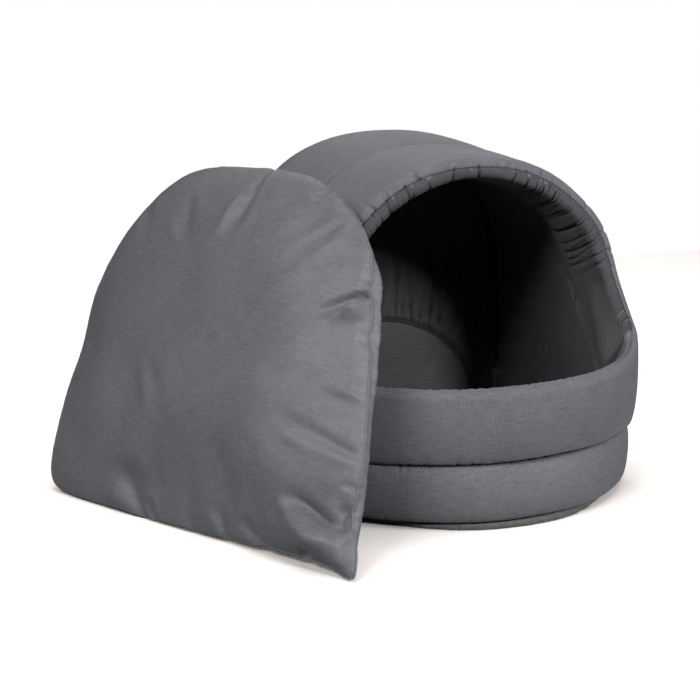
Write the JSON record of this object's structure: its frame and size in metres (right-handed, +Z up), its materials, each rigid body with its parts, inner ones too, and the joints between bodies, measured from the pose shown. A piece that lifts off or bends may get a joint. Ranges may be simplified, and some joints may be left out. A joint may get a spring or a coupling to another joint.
{
  "type": "soft dog house with cushion",
  "caption": "Padded cloth pet house with an arched hood, a low rounded front wall and a gathered doorway lip, with its filled D-shaped cushion leaning beside it.",
  "frame": {"origin": "centre of the flat underside of the felt base, halfway between the front bow and the back of the walls", "axes": "+Z up, -Y out of the doorway, +X to the right of someone who looks in"},
  "size_m": [0.5976, 0.4807, 0.3626],
  "materials": {
    "outer_cloth": "plain weave with a soft sheen, cool mid grey",
    "lining_cloth": "the same plain weave, inside, cool mid grey",
    "cushion_cloth": "plain weave with a soft sheen, cool mid grey",
    "base_felt": "matt needled felt, light warm grey"
  },
  "bodies": {
    "root": {"base_felt": "base_felt", "floor_panel": "lining_cloth", "lower_band": "outer_cloth", "front_hood": "outer_cloth", "back_hood": "outer_cloth", "back_panel": "outer_cloth", "hood_lining": "lining_cloth", "back_lining": "lining_cloth", "back_disc": "lining_cloth", "cushion": "cushion_cloth"}
  },
  "joints": []
}
